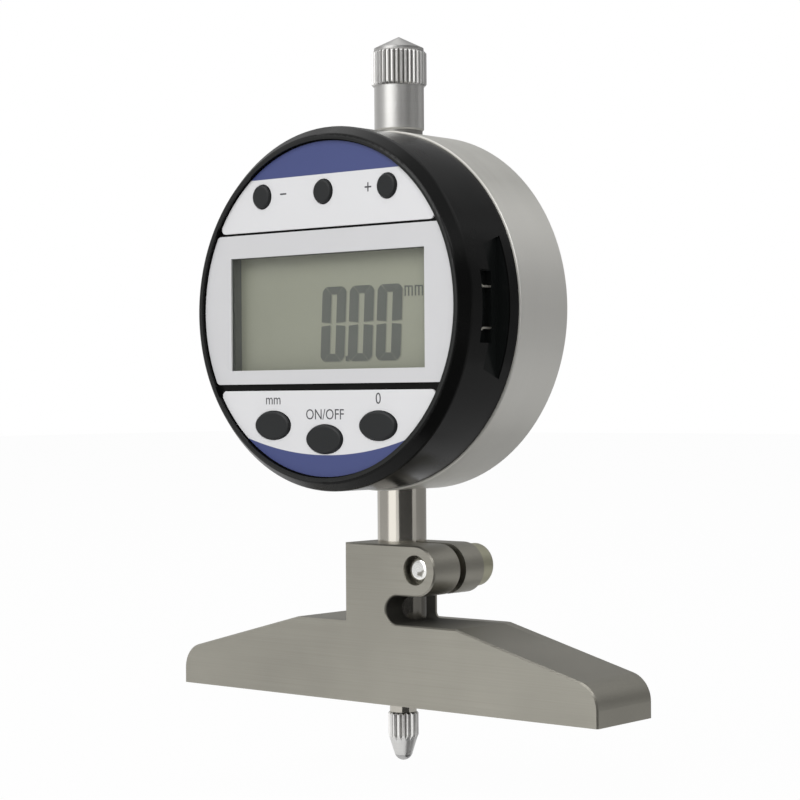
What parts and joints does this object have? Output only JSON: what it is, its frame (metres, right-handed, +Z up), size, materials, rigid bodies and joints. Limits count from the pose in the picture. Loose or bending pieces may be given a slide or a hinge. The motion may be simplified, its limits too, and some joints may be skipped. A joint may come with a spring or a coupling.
{
  "type": "digital depth gauge",
  "caption": "Digital indicator with round dial, display and keys on a stem clamped in a depth base with a flat measuring face and a sprung spindle.",
  "frame": {"origin": "where the stem and spindle axis meets the plane of the base's measuring face", "axes": "+Z up along the stem, +X along the base to the display's right, -Y to the front, where the display faces"},
  "size_m": [0.0872, 0.0284, 0.1179],
  "materials": {
    "base_steel": "ground and brushed along its length",
    "screw_steel": "nickel plated",
    "bright_steel": "ground bright",
    "bronze": "plain bearing bronze",
    "point_steel": "fluted and polished",
    "ball_steel": "polished ball",
    "inner_plastic": "moulded",
    "board_green": "coated laminate",
    "small_screw_steel": "zinc plated",
    "spring_steel": "drawn wire",
    "cap_steel": "polished",
    "case_steel": "turned bright",
    "cover_steel": "fine turned",
    "housing_black": "satin to gloss moulding",
    "panel_silver": "silver paint, blue fields",
    "clear_window": "clear",
    "display_grey": "liquid crystal grey green",
    "strip_rubber": "soft",
    "cell_steel": "nickel plated",
    "clip_metal": "plated spring strip",
    "key_black": "satin rubber"
  },
  "bodies": {
    "base": {"depth_base": "base_steel"},
    "screw": {"clamp_screw": "screw_steel"},
    "head": {"stem": "bright_steel", "lower_bush": "bronze", "upper_bush": "bronze", "guide_rod": "bright_steel", "return_spring": "spring_steel", "top_neck": "bright_steel", "rear_case": "case_steel", "back_cover": "cover_steel", "cover_screws": "small_screw_steel", "front_housing": "housing_black", "housing_screws": "small_screw_steel", "top_panel": "panel_silver", "window_panel": "panel_silver", "bottom_panel": "panel_silver", "display_window": "clear_window", "display_glass": "display_grey", "contact_strips": "strip_rubber", "circuit_board": "board_green", "board_screws": "small_screw_steel", "sensor_board": "board_green", "cell_holder": "inner_plastic", "coin_cell": "cell_steel", "contact_clips": "clip_metal", "upper_key_pad": "strip_rubber", "lower_key_pad": "strip_rubber"},
    "measuring_spindle": {"spindle": "bright_steel", "contact_point": "point_steel", "contact_ball": "ball_steel", "scale_carrier": "inner_plastic", "scale_strip": "board_green", "carrier_screw": "small_screw_steel"},
    "cap": {"dust_cap": "cap_steel"},
    "key_upper_left": {"key_upper_left": "key_black"},
    "key_upper_middle": {"key_upper_middle": "key_black"},
    "key_upper_right": {"key_upper_right": "key_black"},
    "key_lower_left": {"key_lower_left": "key_black"},
    "key_lower_middle": {"key_lower_middle": "key_black"},
    "key_lower_right": {"key_lower_right": "key_black"}
  },
  "joints": [
    {"name": "head_height", "type": "slide", "parent": "base", "child": "head", "axis": [0, 0, 1], "range_m": [-0.006, 0.006]},
    {"name": "clamp_screw_turn", "type": "hinge", "parent": "base", "child": "screw", "pos_m": [0.00865, 0, 0.0218], "axis": [0, 1, 0], "range_deg": [0, 360]},
    {"name": "spindle_travel", "type": "slide", "parent": "head", "child": "measuring_spindle", "axis": [0, 0, 1], "range_m": [0, 0.0127], "stiffness_N_per_m": 25, "springref_m": -0.02, "deforming": ["return_spring"]},
    {"name": "cap_turn", "type": "hinge", "parent": "head", "child": "cap", "pos_m": [0, 0, 0.09255], "axis": [0, 0, 1], "range_deg": [0, 360]},
    {"name": "key_upper_left_press", "type": "slide", "parent": "head", "child": "key_upper_left", "axis": [0, 1, 0], "range_m": [0, 0.0004], "stiffness_N_per_m": 800, "springref_m": -0.0003},
    {"name": "key_upper_middle_press", "type": "slide", "parent": "head", "child": "key_upper_middle", "axis": [0, 1, 0], "range_m": [0, 0.0004], "stiffness_N_per_m": 800, "springref_m": -0.0003},
    {"name": "key_upper_right_press", "type": "slide", "parent": "head", "child": "key_upper_right", "axis": [0, 1, 0], "range_m": [0, 0.0004], "stiffness_N_per_m": 800, "springref_m": -0.0003},
    {"name": "key_lower_left_press", "type": "slide", "parent": "head", "child": "key_lower_left", "axis": [0, 1, 0], "range_m": [0, 0.0004], "stiffness_N_per_m": 800, "springref_m": -0.0003},
    {"name": "key_lower_middle_press", "type": "slide", "parent": "head", "child": "key_lower_middle", "axis": [0, 1, 0], "range_m": [0, 0.0004], "stiffness_N_per_m": 800, "springref_m": -0.0003},
    {"name": "key_lower_right_press", "type": "slide", "parent": "head", "child": "key_lower_right", "axis": [0, 1, 0], "range_m": [0, 0.0004], "stiffness_N_per_m": 800, "springref_m": -0.0003}
  ]
}
